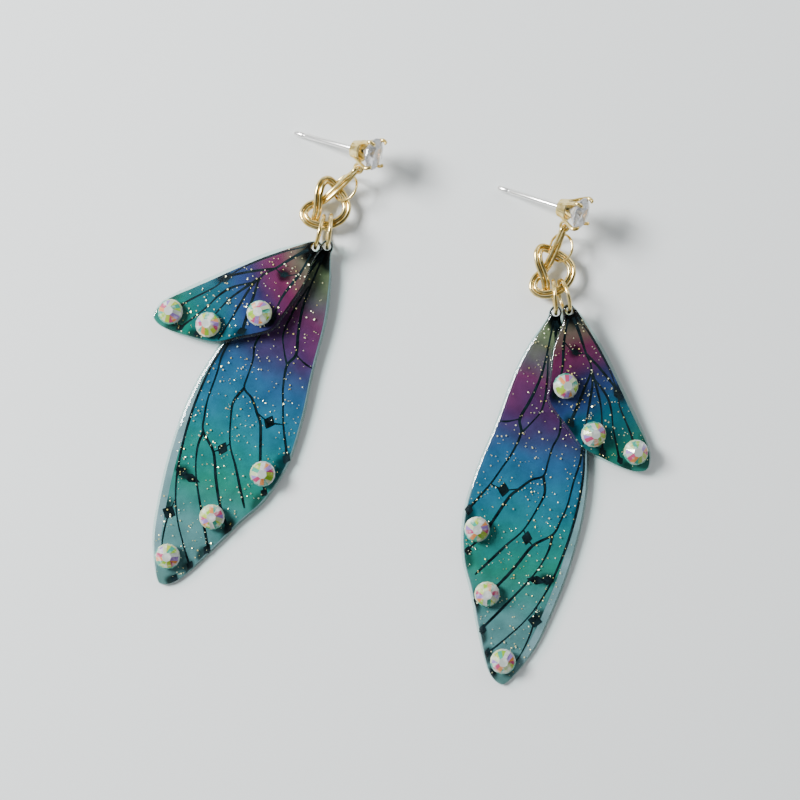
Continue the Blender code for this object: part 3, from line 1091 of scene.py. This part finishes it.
    def veins(self, height: float, place: Matrix) -> None:
        """Lays the vein network and its spots on the print as flattened ink lines.

        Args:
            height: the print's top, in millimetres above the back face.
            place: the wing's frame.
        """
        lines = []
        for width, route in self.pattern.veins:
            points = through([Vector((u, v * self.mirror, 0.0)) * MM for u, v in route], 5)
            count, phase = len(points), len(route)
            waves = [math.sin(self.vein_waves * index / count + phase) for index in range(count)]
            radii = [self.vein_spread * width * MM * (1.0 + self.vein_swell * wave) for wave in waves]
            radii[-1] *= self.vein_end
            lines.append(wire(points, radii, 1))
        for u, v, long_half, short_half in self.pattern.spots:
            deselect()
            bpy.ops.mesh.primitive_cylinder_add(vertices=24, radius=1.0, depth=1.0)
            spot = bpy.context.object
            for vertex in spot.data.vertices:  # draws the disc in to a soft diamond
                pinch = (abs(vertex.co.x) + abs(vertex.co.y)) ** self.spot_pinch
                vertex.co.xy *= self.spot_spread / pinch
            sizes = Vector((long_half, short_half, self.spot_depth)) * MM
            spot.data.transform(Matrix.Diagonal((*sizes, 1.0)))
            spot.data.transform(Matrix.Translation((u * MM, v * self.mirror * MM, 0.0)))
            lines.append(spot)
        deselect()
        for line in lines:
            line.select_set(True)
        bpy.context.view_layer.objects.active = lines[0]
        bpy.ops.object.join()
        made = bpy.context.object
        flatten = Matrix.Diagonal((1, 1, self.ink_flatness, 1))
        made.data.transform(Matrix.Translation((0, 0, height * MM)) @ flatten)
        settle(made, f"{self.body}_veins", place)
        register(made, self.body, Slot.PRINT, self.finishes.ink)

    @staticmethod
    def inside(border: list[Vector], spot: Vector) -> bool:
        """Tells whether a spot lies inside a closed border.

        Args:
            border: the border's points in turn.
            spot: the spot.

        Returns:
            True where the border is crossed an odd number of times to one side of the spot.
        """
        hit = False
        for a, b in zip(border, border[1:] + border[:1]):
            if (a.y > spot.y) != (b.y > spot.y):
                hit ^= spot.x < (b.x - a.x) * (spot.y - a.y) / (b.y - a.y) + a.x
        return hit

    def glitter(self, height: float, place: Matrix) -> None:
        """Scatters thin six-sided foil flecks in the resin just over the print.

        Args:
            height: the dome's underside, in millimetres above the back face.
            place: the wing's frame.
        """
        chance = random.Random(f"{self.body} flecks")
        deselect()
        bpy.ops.mesh.primitive_cylinder_add(vertices=6, radius=1.0, depth=0.2, end_fill_type="NGON")
        made = bpy.context.object
        corners = [vertex.co.copy() for vertex in made.data.vertices]
        sides = [tuple(face.vertices) for face in made.data.polygons]
        border, reach, tilt = self.outline(self.fleck_inset), self.fleck_reach, self.fleck_tilt
        points, faces = [], []
        while len(points) < self.pattern.flecks * len(corners):
            u = chance.uniform(self.fleck_root, self.pattern.length - self.fleck_tip)
            spot = Vector((u, chance.uniform(-reach, reach), 0)) * MM
            size = chance.choice(self.fleck_sizes) * MM
            lift = (height + chance.uniform(*self.fleck_lift)) * MM
            tilts = [Matrix.Rotation(chance.uniform(-tilt, tilt), 4, axis) for axis in "XY"]
            if not self.inside(border, spot):
                continue
            spot.z = lift
            at = Matrix.Translation(spot) @ tilts[0] @ tilts[1] @ Matrix.Scale(size, 4)
            faces += [tuple(len(points) + corner for corner in side) for side in sides]
            points += [at @ corner for corner in corners]
        made.data.clear_geometry()
        made.data.from_pydata(points, [], faces)
        settle(made, f"{self.body}_glitter", place, None)
        # the flecks' finish is gold foil with a painted glint in part
        register(made, self.body, Slot.PRINT, self.finishes.fleck)

    def facet_hue(self, face: bpy.types.MeshPolygon, number: int) -> int:
        """Picks the painted reflection hue that a facet carries.

        Args:
            face: the facet of a crystal that stands on +Z.
            number: the crystal's number on its wing.

        Returns:
            The hue's index: the plain one on top, calm ones round the girdle and all of them between.
        """
        wedge = int(math.atan2(face.center.y, face.center.x) * 8 / math.tau + 8)
        if face.normal.z > 0.95:
            return 0
        if face.center.z < self.girdle_top * MM:
            return self.girdle_reflection_hues[(wedge // 2 + number) % len(self.girdle_reflection_hues)]
        return (wedge * 3 + len(face.vertices) + number * 5) % len(self.finishes.crystal)

    def set_crystals(self, height: float, place: Matrix) -> None:
        """Glues the three flat-back crystals on, each facet with its own painted reflection hue.

        Args:
            height: where they stand, in millimetres above the back face.
            place: the wing's frame.
        """
        reflection_hues = self.finishes.crystal
        for number, (u, v) in enumerate(self.crystals, 1):
            crystal = gem([(sides, wide * MM, level * MM, 0) for sides, wide, level in self.crystal_rings])
            for hue in reflection_hues:
                crystal.data.materials.append(hue)
            # each facet gets a painted reflection hue as its material
            for face in crystal.data.polygons:
                face.material_index = self.facet_hue(face, number)
            spin = Matrix.Rotation(0.4 * number + u, 4, "Z")
            at = place @ Matrix.Translation((u * MM, v * self.mirror * MM, height * MM)) @ spin
            settle(crystal, f"{self.body}_flat_back_{number}", at, None)
            register(crystal, self.body, Slot.CRYSTAL, reflection_hues[0], f"{self.body}_crystal_{number}")


# ---------------------------------------------------------------- metal


@dataclass
class Stud:
    """Ear stud: post, cup, four claws, eye and the round stone. Sizes are in millimetres."""

    side: str
    foot: tuple[float, float, float]
    heading: float
    rise: float
    finishes: Finishes
    post_length: float = 9.2
    post_radius: float = 0.355
    tip_radius: float = 0.22
    groove_radius: float = 0.29
    cup_base: float = 1.15
    cup_rim: float = 1.5
    cup_height: float = 1.5
    cup_floor: float = 0.5
    stone_radius: float = 2.1
    stone_depth: float = 1.75
    crown: float = 0.49
    girdle: float = 3.1
    girdle_rise: float = 0.14
    eye_radius: float = 0.6
    eye_wire: float = 0.2
    claw: float = 0.25
    claw_taper: float = 0.13

    def place(self) -> Matrix:
        """Finds the stud's frame.

        Returns:
            The frame, with its origin at the foot of the cup, +X to the stone and the eye on its -Z side.
        """
        eye, _ = joint(f"{self.side}_stud_tilt")
        turn, rise = math.radians(self.heading), math.radians(self.rise)
        axis = Vector((math.cos(turn) * math.cos(rise), math.sin(turn) * math.cos(rise), math.sin(rise)))
        base = Vector(self.foot) * MM + PAIR_SHIFT
        return frame_of(axis, base - eye, base)

    @staticmethod
    def turned(profile: list[tuple[float, float]], steps: int) -> bpy.types.Object:
        """Turns a solid about +X with the spin operator.

        Args:
            profile: (x, radius) points in millimetres, from the axis out and back to it.
            steps: how many sides it gets.

        Returns:
            The solid.
        """
        deselect()
        bpy.ops.mesh.primitive_circle_add(vertices=3, radius=1.0)
        made = bpy.context.object
        bm = bmesh.new()
        verts = [bm.verts.new((x * MM, 0.0, radius * MM)) for x, radius in profile]
        for pair in zip(verts, verts[1:]):
            bm.edges.new(pair)
        bm.to_mesh(made.data)
        bm.free()
        bpy.ops.object.mode_set(mode="EDIT")
        bpy.ops.mesh.select_all(action="SELECT")
        bpy.ops.mesh.spin(steps=steps, angle=math.tau, center=(0, 0, 0), axis=(1, 0, 0))
        close_up(made)
        return made

    def build(self) -> None:
        """Builds every piece of the stud."""
        place, body = self.place(), f"{self.side}_stud"
        self.post(place, body)
        self.cup(place, body)
        self.claws(place, body)
        self.eye(body)
        self.stone(place, body)

    def post(self, place: Matrix, body: str) -> None:
        """Turns the ear post with its rounded tip and the groove that holds the ear nut.

        Args:
            place: the stud's frame.
            body: the stud's body.
        """
        tip, wide, groove = -self.post_length, self.post_radius, self.groove_radius
        post = self.turned(
            [
                (tip, 0.0), (tip, self.tip_radius), (tip + 0.05, 0.28), (tip + 0.2, wide), (tip + 1.45, wide),
                (tip + 1.58, groove), (tip + 1.78, groove), (tip + 1.92, wide), (-GAP, wide), (-GAP, 0.0),
            ],
            40,
        )
        settle(post, f"{self.side}_ear_wire", place)
        register(post, body, Slot.POST, self.finishes.silver, f"{self.side}_ear_post")

    def cup(self, place: Matrix, body: str) -> None:
        """Turns the open cup that carries the claws.

        Args:
            place: the stud's frame.
            body: the stud's body.
        """
        base, rim, height, floor = self.cup_base, self.cup_rim, self.cup_height, self.cup_floor
        cup = self.turned(
            [
                (0.0, 0.0), (0.0, base - 0.12), (0.05, base - 0.03), (0.16, base), (height - 0.1, rim - 0.02),
                (height - 0.02, rim - 0.07), (height, rim - 0.15), (height - 0.04, rim - 0.28),
                (floor, rim - 0.75), (floor, 0.0),
            ],
            56,
        )
        settle(cup, f"{self.side}_setting_cup", place)
        register(cup, body, Slot.GOLD, self.finishes.gold, f"{self.side}_prong_basket")

    def claws(self, place: Matrix, body: str) -> None:
        """Bends the four claws up the cup and over the stone's girdle.

        Args:
            place: the stud's frame.
            body: the stud's body.
        """
        rim, girdle = self.cup_rim, self.stone_radius + self.claw + GAP
        route = [
            (0.25, self.cup_base - 0.12), (0.9, rim - 0.3), (self.cup_height + 0.1, rim + 0.12),
            (2.3, girdle - 0.36), (self.girdle - 0.1, girdle), (self.girdle + 0.25, girdle),
            (self.girdle + 0.55, girdle - 0.16), (self.girdle + 0.72, girdle - 0.5),
        ]
        for number in range(4):
            angle = math.radians(45 + 90 * number)
            out = Vector((0, math.cos(angle), math.sin(angle)))
            points = through([Vector((x, 0, 0)) * MM + out * radius * MM for x, radius in route], 6)
            last = len(points) - 1
            radii = [
                self.claw * MM * (1.0 if index < last - 3 else 1.0 - self.claw_taper * (index - last + 4))
                for index in range(last + 1)
            ]
            claw = wire(points, radii, 4)
            settle(claw, f"{self.side}_claw_{number + 1}", place)
            register(claw, body, Slot.GOLD, self.finishes.gold)

    def eye(self, body: str) -> None:
        """Makes the soldered eye under the cup.

        Args:
            body: the stud's body.
        """
        deselect()
        bpy.ops.mesh.primitive_torus_add(
            major_segments=48, minor_segments=16, major_radius=self.eye_radius * MM,
            minor_radius=self.eye_wire * MM,
        )
        eye = bpy.context.object
        point, across = joint(f"{self.side}_stud_tilt")
        settle(eye, f"{self.side}_hanging_eye", frame_of(across.orthogonal(), across, point), 60)
        register(eye, body, Slot.GOLD, self.finishes.gold, f"{self.side}_stud_eye")

    def stone(self, place: Matrix, body: str) -> None:
        """Cuts the round brilliant and sets it between the claws.

        Args:
            place: the stud's frame.
            body: the stud's body.
        """
        radius, crown, depth = self.stone_radius * MM, self.crown * MM, self.stone_depth * MM
        stone = gem(
            [
                (8, 0.56 * radius, crown, 0), (8, 0.8 * radius, 0.56 * crown, 1), (16, radius, 0.0, 0),
                (16, radius, -0.12 * MM, 0), (8, 0.42 * radius, -0.62 * depth, 0), (1, 0.0, -depth, 0),
            ]
        )
        lift = Matrix.Translation((self.girdle * MM + self.girdle_rise * MM, 0, 0))
        at = place @ lift @ Matrix.Rotation(math.pi / 2, 4, "Y")
        settle(stone, f"{self.side}_brilliant", at, None)
        register(stone, body, Slot.STONE, self.finishes.stone, f"{self.side}_stone")


@dataclass
class Knot:
    """The doubled gold wire tied in an overhand knot, one wire that turns back at a hairpin.

    Sizes and the route's points are in millimetres, and the hairpin's start is in degrees. The route runs
    from below the hairpin to the tail.
    """

    side: str
    origin: tuple[float, float, float]
    turn: float
    post_axis: Vector
    finishes: Finishes
    wire_radius: float = 0.3
    offset: float = 0.28
    hairpin: float = 0.62
    eye_radius: float = 0.6
    twist_length: float = 2.2
    hairpin_start: float = 60.0
    hairpin_steps: int = 10
    hairpin_skip: int = 3
    route: tuple[tuple[float, float, float], ...] = (
        (0.87, 2.85, 2.4), (-0.6, 1.62, 1.75), (-1.75, 1.0, 1.28), (-3.05, 0.5, 1.35), (-3.75, -0.5, 1.55),
        (-3.15, -1.6, 1.82), (-1.65, -2.15, 2.02), (0.0, -1.95, 2.0), (1.34, -1.12, 1.9), (1.9, 0.1, 1.75),
        (1.62, 1.35, 1.6), (0.9, 2.45, 1.55), (0.1, 3.45, 1.65), (-0.6, 3.85, 1.9), (-1.3, 3.4, 2.2),
        (-1.72, 2.2, 2.3), (-1.83, 0.9, 2.12), (-1.95, -0.3, 1.72), (-2.3, -1.35, 1.27),
    )

    def place(self) -> Matrix:
        """Finds the knot's own frame."""
        at = Vector(self.origin) * MM + PAIR_SHIFT
        return Matrix.Translation(at) @ Matrix.Rotation(math.radians(self.turn), 4, "Z")

    def strands(
        self, line: list[Vector], stem: Vector, hole_axis: Vector
    ) -> tuple[list[Vector], list[Vector]]:
        """Draws the two strands beside the knot's middle line.

        Args:
            line: the middle line, from the hairpin to the tail.
            stem: which way the hairpin points.
            hole_axis: which way one looks through the hairpin.

        Returns:
            The left and the right strand. They turn from the hairpin's plane to a level one on the way.
        """
        level = Vector((0, 0, 1))
        upright = (level - stem * level.dot(stem)).normalized()
        twist = math.atan2(stem.dot(upright.cross(hole_axis)), upright.dot(hole_axis))
        left, right, walked = [], [], 0.0
        for index, point in enumerate(line):
            before = line[max(index - 1, 0)]
            after = line[min(index + 1, len(line) - 1)]
            if index:
                walked += (point - line[index - 1]).length
            along = (after - before).normalized()
            side = along.cross(level).normalized()
            lean = -twist * max(0.0, 1.0 - walked / (self.twist_length * MM))
            side = Matrix.Rotation(lean, 3, along) @ side
            left.append(point + side * self.offset * MM)
            right.append(point - side * self.offset * MM)
        return left, right

    def build(self) -> None:
        """Builds the knot: up one strand, round the hairpin through the stud's eye and down the other."""
        place = self.place()
        eye, _ = joint(f"{self.side}_stud_tilt")
        eye = place.inverted() @ eye
        below = Vector(self.route[0]) * MM
        stem = (eye - below).normalized()
        middle = eye - stem * self.eye_radius * MM
        stem_end = middle - stem * self.hairpin * MM
        line = through([stem_end, *(Vector(point) * MM for point in self.route)], 7)
        post_axis = place.inverted().to_3x3() @ self.post_axis
        hole_axis = (post_axis - stem * post_axis.dot(stem)).normalized()
        left, right = self.strands(line, stem, hole_axis)
        sideways = (left[0] - right[0]).normalized()
        arc = []
        turn = (360.0 - 2 * self.hairpin_start) / self.hairpin_steps
        for step in range(self.hairpin_steps + 1):
            angle = math.radians(self.hairpin_start + turn * step)
            reach = -stem * math.cos(angle) + sideways * math.sin(angle)
            arc.append(middle + reach * self.hairpin * MM)
        skip = self.hairpin_skip
        points = through([*reversed(left[skip:]), *arc, *right[skip:]], 2)
        made = wire(*rounded(points, self.wire_radius * MM), 5)
        settle(made, f"{self.side}_knotted_wire", place, 60)
        register(made, f"{self.side}_knot", Slot.GOLD, self.finishes.gold, f"{self.side}_knot")


@dataclass
class JumpRing:
    """A round gold ring bent from wire, with the seam where its ends meet. Sizes are in millimetres."""

    side: str
    name: str
    joint_name: str
    radius: float
    wire_radius: float
    finishes: Finishes
    half_seam: float = 0.02
    steps: int = 72
    seam_turn: float = 200.0

    def build(self) -> None:
        """Builds the ring as a bent wire whose two ends nearly touch."""
        centre, axis = joint(self.joint_name)
        seam = self.half_seam / self.radius
        points = []
        for step in range(self.steps + 1):
            angle = seam + (math.tau - 2 * seam) * step / self.steps
            points.append(Vector((math.cos(angle), math.sin(angle), 0)) * self.radius * MM)
        made = wire(points, self.wire_radius * MM, 5)
        turn = Matrix.Rotation(math.radians(self.seam_turn), 4, "Z")
        body = f"{self.side}_{self.name}"
        settle(made, f"{body}_wire", frame_of(axis.orthogonal(), axis, centre) @ turn, 60)
        register(made, body, Slot.GOLD, self.finishes.gold, body)


# ---------------------------------------------------------------- earrings and studio


@dataclass
class Earring:
    """One earring: where its knot, stud and wings lie, and how its wings are mirrored.

    The knot has its origin and turn. The stud has its foot, heading and rise. A wing has its hole,
    heading, dip and roll. Lengths are in millimetres and angles in degrees.
    """

    side: str
    mirror: int
    knot: tuple[tuple[float, float, float], float]
    stud: tuple[tuple[float, float, float], float, float]
    big_wing: tuple[tuple[float, float, float], float, float, float]
    small_wing: tuple[tuple[float, float, float], float, float, float]
    big_crystals: Path2
    small_crystals: Path2
    keeper_sizes: tuple[float, float] = (1.8, 0.18)
    ring_sizes: tuple[float, float] = (2.2, 0.25)

    def build(self, finishes: Finishes) -> None:
        """Builds the earring from the stud down to the wings.

        Args:
            finishes: the shared materials.
        """
        side = self.side
        stud = Stud(side, *self.stud, finishes)
        stud.build()
        Knot(side, *self.knot, stud.place().to_3x3().col[0], finishes).build()
        JumpRing(side, "keeper_ring", f"{side}_keeper_turn", *self.keeper_sizes, finishes).build()
        JumpRing(side, "big_ring", f"{side}_wings_lift", *self.ring_sizes, finishes).build()
        JumpRing(side, "small_ring", f"{side}_small_wing_lift", *self.ring_sizes, finishes).build()
        Wing(side, BIG, *self.big_wing, self.mirror, self.big_crystals, finishes).build()
        Wing(side, SMALL, *self.small_wing, self.mirror, self.small_crystals, finishes).build()


EARRINGS = (
    Earring(
        "left", 1,
        knot=((-8.94, 25.86, 0.0), 0.0),
        stud=((-6.1, 33.5, 4.5), -18.0, 26.5),
        big_wing=((-9.6, 21.0, 1.25), 244.1, 1.35, 0.0),
        small_wing=((-10.98, 20.72, 2.84), 201.4, 5.2, 9.0),
        big_crystals=((30.4, 5.4), (38.4, 1.9), (45.6, -1.1)),
        small_crystals=((9.8, 5.5), (16.65, 4.4), (20.75, 0.95)),
    ),
    Earring(
        "right", -1,
        knot=((20.6, 17.55, 0.0), 25.0),
        stud=((20.6, 25.95, 4.5), -20.4, 25.5),
        big_wing=((20.3, 12.4, 1.25), 261.3, 1.35, 0.0),
        small_wing=((21.85, 12.5, 2.9), 298.0, 5.2, 9.0),
        big_crystals=((29.6, 5.9), (37.8, 3.3), (46.2, -0.1)),
        small_crystals=((8.3, 5.2), (15.6, 4.9), (20.4, 1.0)),
    ),
)


@dataclass
class Studio:
    """Pale paper, soft light from the upper left and a camera straight above.

    A soft box is its place in metres, its side in metres and its power in watts.
    """

    view_width: float = 105.3
    aim: tuple[float, float] = (-0.19, 1.0)
    lens: float = 100.0
    sensor: float = 36.0
    paper_size: float = 2.0
    key: tuple[tuple[float, float, float], float, float] = ((-0.36, 0.16, 0.33), 0.16, 6.6)
    fill: tuple[tuple[float, float, float], float, float] = ((0.34, 0.3, 0.3), 0.35, 0.9)
    window: tuple[float, float, float] = (-0.87, 0.5, 0.0)
    heights: tuple[tuple[float, str], ...] = (
        (0.0, "#b4b9bb"), (0.3, "#e6eaec"), (0.62, "#f2f4f5"), (0.84, "#b4babe"), (0.93, "#565c61"),
        (1.0, "#34393e"),
    )

    def build(self) -> None:
        """Sets the floor, the lights, the surroundings and the camera."""
        deselect()
        bpy.ops.mesh.primitive_plane_add(size=self.paper_size, location=(0, 0, 0))
        floor = bpy.context.object
        settle(floor, "paper_floor", Matrix.Identity(4))
        floor.data.materials.append(PalePaper().material())

        self.area("key", *self.key)
        self.area("fill", *self.fill)
        self.surroundings()

        camera_data = bpy.data.cameras.new("overhead")
        camera = bpy.data.objects.new("overhead", camera_data)
        bpy.context.scene.collection.objects.link(camera)
        camera_data.lens = self.lens
        camera_data.sensor_width = self.sensor
        camera_data.clip_start = 0.01
        distance = self.view_width * self.lens / self.sensor
        camera.location = (self.aim[0] * MM, self.aim[1] * MM, distance * MM)
        bpy.context.scene.camera = camera

    def surroundings(self) -> None:
        """Lights the room: dark above, brighter towards the horizon and the window at the upper left."""
        world = bpy.data.worlds.new("soft studio")
        bpy.context.scene.world = world
        world.use_nodes = True
        tree = world.node_tree
        tree.nodes.clear()
        coords = add_node(tree, "TexCoord")
        axes = add_node(tree, "SeparateXYZ", {0: coords.outputs["Generated"]})
        height = add_node(tree, "ValToRGB", {0: axes.outputs["Z"]}, stops=self.heights)
        facing = add_node(
            tree, "VectorMath", {0: coords.outputs["Generated"], 1: self.window}, operation="DOT_PRODUCT"
        )
        strength = add_node(
            tree, "MapRange", {0: facing.outputs["Value"], 1: -0.7, 2: 0.9, 3: 0.25, 4: 1.3}
        )
        light = add_node(
            tree, "Background", {"Color": height.outputs["Color"], "Strength": strength.outputs[0]}
        )
        out = add_node(tree, "OutputWorld")
        tree.links.new(light.outputs[0], out.inputs["Surface"])

    def area(self, name: str, place: tuple[float, float, float], size: float, power: float) -> None:
        """Hangs a square soft box aimed at the middle of the paper.

        Args:
            name: the light's name.
            place: where it hangs, in metres.
            size: its side, in metres.
            power: its power, in watts.
        """
        light = bpy.data.lights.new(name, "AREA")
        light.size = size
        light.energy = power
        made = bpy.data.objects.new(name, light)
        bpy.context.scene.collection.objects.link(made)
        made.location = place
        made.rotation_euler = (-Vector(place)).to_track_quat("-Z", "Y").to_euler()


def main() -> None:
    """Builds the studio and both earrings."""
    logging.basicConfig(level=logging.INFO, format="%(message)s")
    finishes = Finishes(
        gold=GoldPlate().material(),
        silver=SilverPost().material(),
        stone=Zirconia().material(),
        crystal=FoiledCrystal().materials(),
        resin=ClearResin().material(),
        ink=VEIN_INK.material(),
        carrier=CARRIER_FILM_PAINTED_REFLECTION.material(),
        fleck=GOLD_FLECK_WITH_PAINTED_GLINT.material(),
    )
    Studio().build()
    for earring in EARRINGS:
        earring.build(finishes)


if __name__ == "__main__":
    main()
